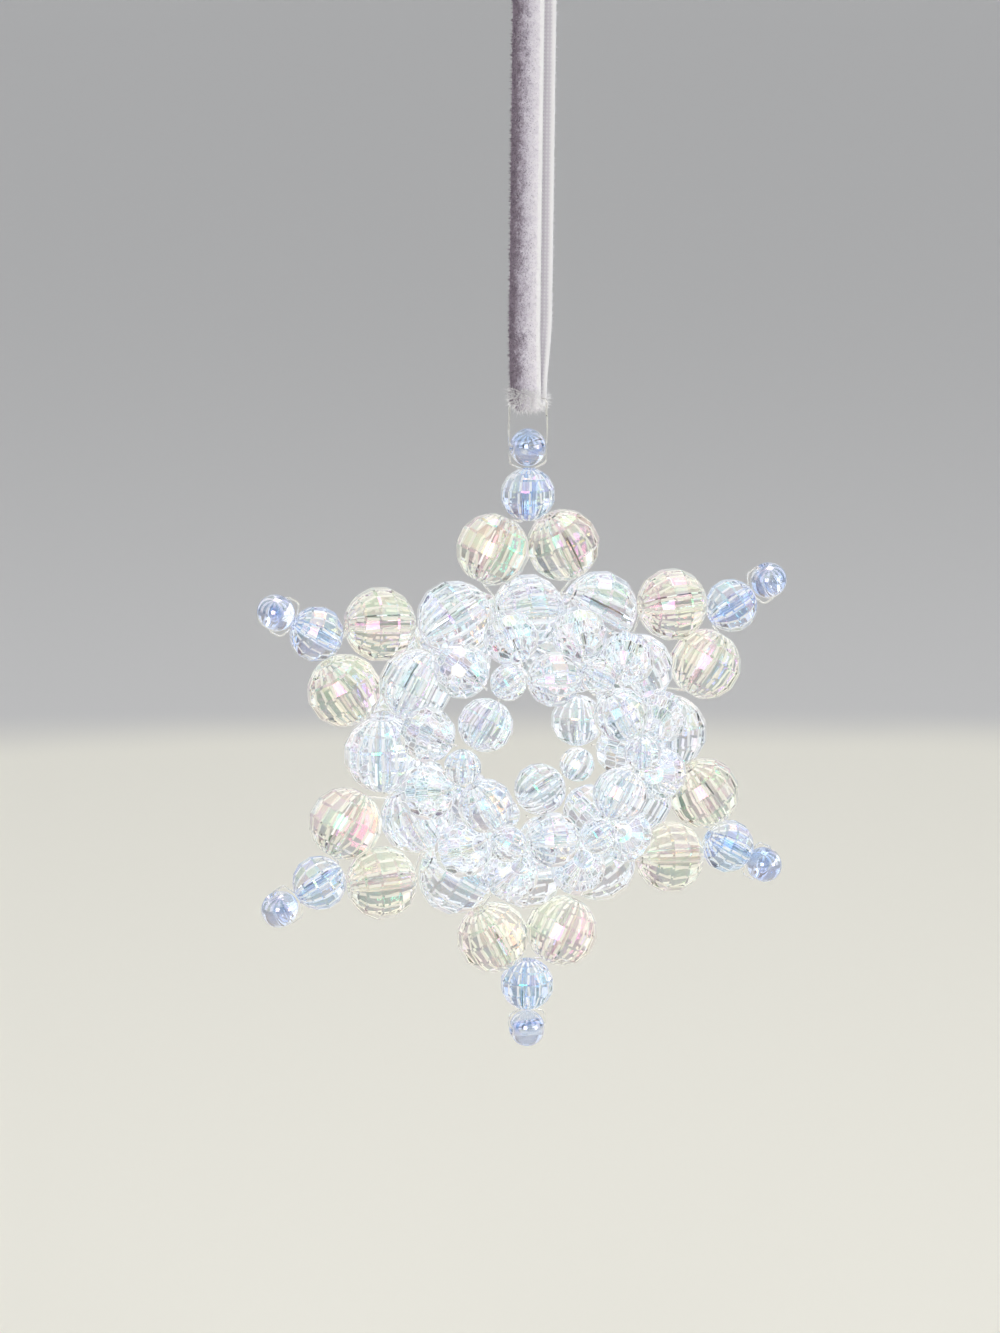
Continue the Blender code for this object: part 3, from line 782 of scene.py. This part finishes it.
# %% [markdown]
# The points come first. Each has a smooth blue tip, a pale blue bead and two champagne beads, and
# each of these turns on the line by itself, so it is a piece of its own. Their places could be
# measured again, but the joints of the frame already hold each bead's middle and the direction of
# its bore. The clear beads of the outer ring lie under the points and between them.

# %% Beads of the points and of the outer ring
STEP = math.pi / 3
HALF = STEP / 2


def outward(turn):
    """Unit vector from the centre of the star, this far clockwise from straight up."""
    return np.array((math.sin(turn), 0, math.cos(turn)))


def around(turn):
    """Unit vector in the plane of the star, at right angles to outward and clockwise."""
    return np.array((math.cos(turn), 0, -math.sin(turn)))


def middle_of(node):
    """Middle of the box of a solid."""
    return np.mean([np.array(corner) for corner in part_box(node)], axis=0)


def set_bead(name, node, shape, finish, body, slot, centre, axis):
    """Replaces one solid bead by its cut shape, on the middle and along the bore of the solid."""
    part = bead_at(shape, centre, axis, int(shape is tip_shape))
    edge = cream_edge if finish is cream else white_edge
    make_piece(name, [part], [finish, edge], body, node, slot)


POINT_BEADS = (
    ("tip_{}", "tip_bead_{}", tip_shape, blue, "blue_acrylic"),
    ("middle_{}", "point_bead_{}", middle_shape, pale, "pale_blue_acrylic"),
    ("cream_{}_left", "cream_bead_{}_left", large_shape, cream, "cream_acrylic"),
    ("cream_{}_right", "cream_bead_{}_right", large_shape, cream, "cream_acrylic"),
)
for k in POINTS:
    for name, node, shape, finish, slot in POINT_BEADS:
        body = name.format(k)
        pin = joint[body + "_spin"]
        set_bead(body, node.format(k), shape, finish, body, slot, pin["pos_m"], pin["axis"])
    pin, base, valley = joint[f"point_{k}_rock"], f"base_bead_{k}", f"valley_bead_{k}"
    on_core = (clear, "core", "clear_acrylic")
    set_bead(f"base_{k}", base, large_shape, *on_core, pin["pos_m"], pin["axis"])
    set_bead(f"valley_{k}", valley, valley_shape, *on_core, middle_of(valley), around(k * STEP - HALF))
print("outer beads placed:", 6 * len(POINTS))

# %% [markdown]
# The core stands out in front of and behind the outer ring. On each side a pair of connector
# beads rises from every other bead of the outer ring and meets a ring of large and small beads.
# The centres could be read off the solids one by one, but each follows from the beads that it rests
# against, as in a pile of balls: two known centres and the three sizes fix where the third ball lies.

# %% Where the beads of the core lie
BASE, VALLEY, CONNECTOR, RING, SMALL = 7.8 * MM, 8.3 * MM, 5.8 * MM, 5.8 * MM, 3.9 * MM
GAP, RING_RISE = 0.3 * MM, math.radians(27)
base_radius = np.linalg.norm(np.array(joint["point_1_rock"]["pos_m"]) - star)
valley_radius = np.linalg.norm(middle_of("valley_bead_1") - star)
small_radius = ((RING + SMALL) / 2 + GAP) / math.sin(HALF)
ring_radius = small_radius * math.cos(HALF)


def connector_place():
    """Angle from its point, distance from the middle, and depth of a connector bead.

    It lies in the groove between a base and a valley bead, and leans in over the groove until a
    bead of the ring, out towards the valley, sits on it at the angle RING_RISE.
    """
    base = np.array((0, base_radius))
    to_valley = np.array((math.sin(HALF), math.cos(HALF)))
    from_base, from_valley = (CONNECTOR + BASE) / 2 + GAP, (CONNECTOR + VALLEY) / 2 + GAP
    span = np.linalg.norm(to_valley * valley_radius - base)
    along = (from_base**2 - from_valley**2 + span**2) / (2 * span)
    line = (to_valley * valley_radius - base) / span
    inward = np.array((line[1], -line[0]))
    away = base + line * along - to_valley * ring_radius
    flat_reach = ((CONNECTOR + RING) / 2 + GAP) * math.cos(RING_RISE)
    lean_in = -away @ inward - math.sqrt((away @ inward) ** 2 - away @ away + flat_reach**2)
    flat = base + line * along + inward * lean_in
    return math.atan2(*flat), np.linalg.norm(flat), math.sqrt(from_base**2 - along**2 - lean_in**2)


connector_turn, connector_radius, connector_depth = connector_place()
ring_depth = connector_depth + ((CONNECTOR + RING) / 2 + GAP) * math.sin(RING_RISE)
print("the rings lie", round(ring_depth / MM, 2), "mm in front of and behind the middle")

# %% [markdown]
# The line shows between the beads and through them. A curve object with a bevel would draw it too,
# but it has to be one mesh with its beads, so a circle is carried along the route, and each corner of
# the route is cut off first, because nylon doesn't kink.

# %% Nylon line
LINE, CORNER, CORNER_SHARE = 0.25 * MM, 0.25 * MM, 0.4


def eased(route):
    """Cuts each corner of an open route: two places a short way before and after it."""
    sides = []
    for step in (1, -1):
        way = np.roll(route, step, 0) - route
        far = np.linalg.norm(way, axis=1, keepdims=True)
        sides.append(route + way * (np.minimum(CORNER, CORNER_SHARE * far) / far))
    both = np.stack(sides, 1).reshape(-1, 3)
    both[0], both[-1] = route[0], route[-1]
    return both


def tube(route, size, closed, sides=8):
    """Round line: a circle carried along the route, kept upright on the route's flattest direction."""
    flattest = np.linalg.svd(route - route.mean(0))[2][-1]
    along = np.roll(route, -1, 0) - np.roll(route, 1, 0)
    if not closed:
        along[0], along[-1] = route[1] - route[0], route[-1] - route[-2]
    along = unit(along)
    side = unit(np.cross(along, flattest))
    other = np.cross(along, side)
    turn = round_turns(sides)
    ring = side[:, None] * np.cos(turn)[:, None] + other[:, None] * np.sin(turn)[:, None]
    points = (route[:, None] + ring * size / 2).reshape(-1, 3)
    faces = grid_faces(len(route), sides, closed).tolist()
    last = (len(route) - 1) * sides
    if not closed:
        faces += [range(sides)[::-1], range(last, last + sides)]
    return {"points": points, "faces": faces, "index": 2, "smooth": 1}


drawn = [f"point_line_{k}" for k in POINTS] + ["hanging_loop"]
for name in drawn:
    frame["nodes"][name].data.materials.clear()
    frame["nodes"][name].data.materials.append(nylon)
    frame["nodes"][name].visible_shadow = False
print("solids that keep their shape and become nylon:", len(drawn))

# %% [markdown]
# Now the core is put together. Each pair is two connector beads on one line through a bead of the
# outer ring. The front pairs go through the beads under the points and the back pairs through those
# between them, so the two sides are half a step apart. A ring is twelve beads on a closed line.

# %% Pairs and rings
BORE, STUB = 1.6 * MM, 1.2 * MM
# In the wide bores of the solids the lines of several passes lie this far off the middle.
off_middle = BORE / 2 - 1.9 * LINE


def spot(turn, side, radius, depth=0.0):
    """Place in the frame of one direction of the star: sideways, outwards and into the depth."""
    return star + around(turn) * side + outward(turn) * radius + np.array((0, depth, 0))


def connector_route(turn, side, face, size, radius, lift, room, angle):
    """One half of a pair: its bead's middle and bore, and the line from the carrier to the ring."""
    aside, out = connector_radius * math.sin(angle), connector_radius * math.cos(angle)
    centre = spot(turn, side * aside, out, face * connector_depth)
    share = (RING + GAP) / (RING + SMALL + 2 * GAP)
    inner = spot(turn, side * share * small_radius * math.sin(HALF), ring_radius, face * ring_depth)
    groove = BEAD_END * size / 2 + room
    start, outer = (spot(turn, side * s * groove, radius - lift, face * lift) for s in (0.5, 1))
    axis = unit(inner - outer)
    half = BEAD_END * CONNECTOR / 2
    end = centre + axis * half
    stub = end + unit(inner - end) * STUB
    return centre, axis, np.array([start, outer, centre - axis * (half + LINE), end, stub])


def pair(name, node, turn, **place):
    """Two connector beads and the line that joins them through a bead of the outer ring."""
    halves = [connector_route(turn, side, **place) for side in (-1, 1)]
    parts = [bead_at(connector_shape, centre, axis) for centre, axis, _ in halves]
    route = np.concatenate((halves[0][2][::-1], halves[1][2]))
    parts.append(tube(eased(route), LINE, False))
    make_piece(name, parts, [clear, white_edge, nylon], "core", node, "clear_acrylic")


def bead_ring(name, node, face, first):
    """Six large and six small beads in turn on one closed line."""
    turns = first + HALF * np.arange(12)
    radii = np.where(np.arange(12) % 2, small_radius, ring_radius)
    centres = np.array([spot(t, 0, r, face * ring_depth) for t, r in zip(turns, radii)])
    shapes = (ring_shape, small_shape)
    parts = [bead_at(shapes[i % 2], centre, around(turns[i])) for i, centre in enumerate(centres)]
    parts.append(tube(centres, LINE, True))
    make_piece(name, parts, [clear, white_edge, nylon], "core", node, "clear_acrylic")


front = {"face": -1, "size": BASE, "radius": base_radius, "lift": 0.7 * off_middle,
         "room": 1.2 * LINE, "angle": connector_turn}
behind = {"face": 1, "size": VALLEY, "radius": valley_radius, "lift": 0.8 * off_middle,
          "room": 3 * LINE, "angle": HALF - connector_turn}
for k in POINTS:
    here = (k - 1) * STEP
    pair(f"front_connectors_{k}", f"front_pair_{k}", here, **front)
    pair(f"back_connectors_{k}", f"back_pair_{k}", here + HALF, **behind)
bead_ring("front_bead_ring", "front_ring", -1, 0.0)
bead_ring("back_bead_ring", "back_ring", 1, HALF)
print("pairs placed:", 2 * len(POINTS), "and two rings of 12 beads")

# %% [markdown]
# The stage is a pale floor well below the star, warm near the middle and grey further out. A wall
# would be nearer to a real room, but the floor alone reaches the top of the picture and stays plain
# from every side.

# %% Floor
FLOOR_DROP, FLOOR_RADIUS, FLOOR_SIDES = 107 * MM, 6, 96
WARM_REACH, GREY_REACH, WAVY = 0.455, 0.505, 0.03


def floor_finish():
    """Matt painted board: warm white in the middle, neutral grey far out, with a faint mottle."""
    material, tree = new_material("pale_floor")
    place = add(tree, "TexCoord").outputs["Object"]
    far = add(tree, "VectorMath", {"operation": "LENGTH"}, _0=place)
    mottle = add(tree, "TexNoise", Vector=place, Scale=noise_scale(55 * MM), Detail=2.0)
    wavy = add(tree, "Math", TIMES_PLUS, _0=mottle, _1=WAVY, _2=far.outputs["Value"])
    reach = add(tree, "MapRange", SMOOTH, Value=wavy, From_Min=WARM_REACH, From_Max=GREY_REACH)
    warm, grey = linear("#eeebe0"), linear("#cfcecd")
    colour = add(tree, "Mix", {"data_type": "RGBA"}, Factor=reach, _6=warm, _7=grey)
    shade = add(tree, "BsdfPrincipled", Base_Color=colour.outputs[2], Roughness=0.9, Specular_IOR_Level=0.1)
    add(tree, "OutputMaterial", Surface=shade)
    return material


turns = round_turns(FLOOR_SIDES)
rim = FLOOR_RADIUS * np.stack((np.cos(turns), np.sin(turns), 0 * turns), -1)
floor_mesh = bpy.data.meshes.new("floor")
floor_mesh.from_pydata(rim.tolist(), [], [tuple(range(FLOOR_SIDES))])
floor_mesh.materials.append(floor_finish())
floor = place_object("floor", floor_mesh)
floor.location = (0, 0, star[2] - FLOOR_DROP)
print("floor", round(FLOOR_DROP / MM), "mm below the middle of the star")

# %% [markdown]
# Clear beads show what is round them and not light that falls on them. In an even white room they
# would vanish, so upright soft boxes stand all round with dark gaps between them, which the facets
# break up into bright and dark strokes. Behind the star the world is a plain grey like the far
# floor, the room behind the photographer is dim, and the camera itself sees the grey everywhere.

# %% World
PANEL_STEP, PANEL_START, PANEL_FULL = math.radians(22), math.radians(9), math.radians(12)
PANEL_LIGHT, GAP_LIGHT, GREY_LIGHT, DIM_SHARE = 1.35, 0.03, 0.51, 0.1
WALL_FULL, WALL_END, DIM_FULL, DIM_END, WALL_RISE = 0.93, 0.75, -0.8, -0.55, 0.1
world = bpy.data.worlds.new("studio")
bpy.context.scene.world = world
world.use_nodes = True
tree = world.node_tree
tree.nodes.clear()
sky = add(tree, "TexCoord").outputs["Generated"]
to_wall = add(tree, "VectorMath", {"operation": "DOT_PRODUCT"},
              _0=sky, _1=(-back[0], -back[1], WALL_RISE)).outputs["Value"]
beside = add(tree, "MapRange", SMOOTH, Value=to_wall, From_Min=WALL_FULL, From_Max=WALL_END)
in_front = add(tree, "MapRange", SMOOTH, Value=to_wall, From_Min=DIM_FULL, From_Max=DIM_END,
               To_Min=DIM_SHARE)
way = add(tree, "SeparateXYZ", Vector=sky)
turn = add(tree, "Math", {"operation": "ARCTAN2"}, _0=way.outputs["X"], _1=way.outputs["Y"])
folded = add(tree, "Math", {"operation": "PINGPONG"}, _0=turn, _1=PANEL_STEP)
panels = add(tree, "MapRange", SMOOTH, Value=folded, From_Min=PANEL_START, From_Max=PANEL_FULL,
             To_Min=GAP_LIGHT, To_Max=PANEL_LIGHT)
dimmed = add(tree, "Math", TIMES, _0=in_front, _1=panels)
softboxes = add(tree, "Math", TIMES, _0=beside, _1=dimmed)
wall = add(tree, "MapRange", Value=beside, To_Min=GREY_LIGHT, To_Max=0.0)
level = add(tree, "Math", {"operation": "ADD"}, _0=softboxes, _1=wall)
eye = add(tree, "LightPath").outputs["Is Camera Ray"]
seen = add(tree, "Mix", {"data_type": "FLOAT"}, Factor=eye, _2=level, _3=GREY_LIGHT)
glow = add(tree, "Background", Color=linear("#fafcff"), Strength=seen)
add(tree, "OutputWorld", Surface=glow)
print("soft boxes round the star:", round(math.pi / PANEL_STEP))

# %% [markdown]
# Two small lamps in front light the matt edges and give the sparkle, and one lamp above lights the
# floor. Large lamps would be softer, but would fill the dark strokes. The front lamps have a
# honeycomb grid, which keeps their light off the floor. Light bounces many times inside a heap of
# clear beads, so the renderer follows it further than it does by itself.

# %% Lamps
BEAM, BOUNCES = math.radians(80), 32


def lamp(name, place, size, radiance, colour, beam=None):
    """Soft square lamp that faces the star. Its power follows from the brightness of its face.

    The renderer puts all the power into a narrow beam, so the power is lowered by the same share.
    """
    data = bpy.data.lights.new(name, "AREA")
    data.shape, data.size = "SQUARE", size
    data.energy = radiance * size**2 * math.pi
    if beam:
        data.spread = beam
        data.energy *= 1 - beam / 2 / math.tan(beam / 2)
    data.color = linear(colour)[:3]
    made = place_object(name, data)
    away = unit(np.array(place) - star)
    made.location = place
    made.rotation_euler = (math.acos(away[2]), 0, math.atan2(away[1], away[0]) + math.pi / 2)


lamp("key", (-0.42, -0.62, 0.10), 0.32, 6.4, "#fffdfa", BEAM)
lamp("fill", (0.5, -0.5, 0.0), 0.25, 4.8, "#ffffff", BEAM)
lamp("top", (0.1, 0.1, 0.6), 0.4, 3.0, "#ffffff")
bpy.context.scene.view_settings.view_transform = "Standard"
bpy.context.scene.cycles.max_bounces = BOUNCES
bpy.context.scene.cycles.transmission_bounces = BOUNCES
print("lamps:", len(bpy.data.lights))
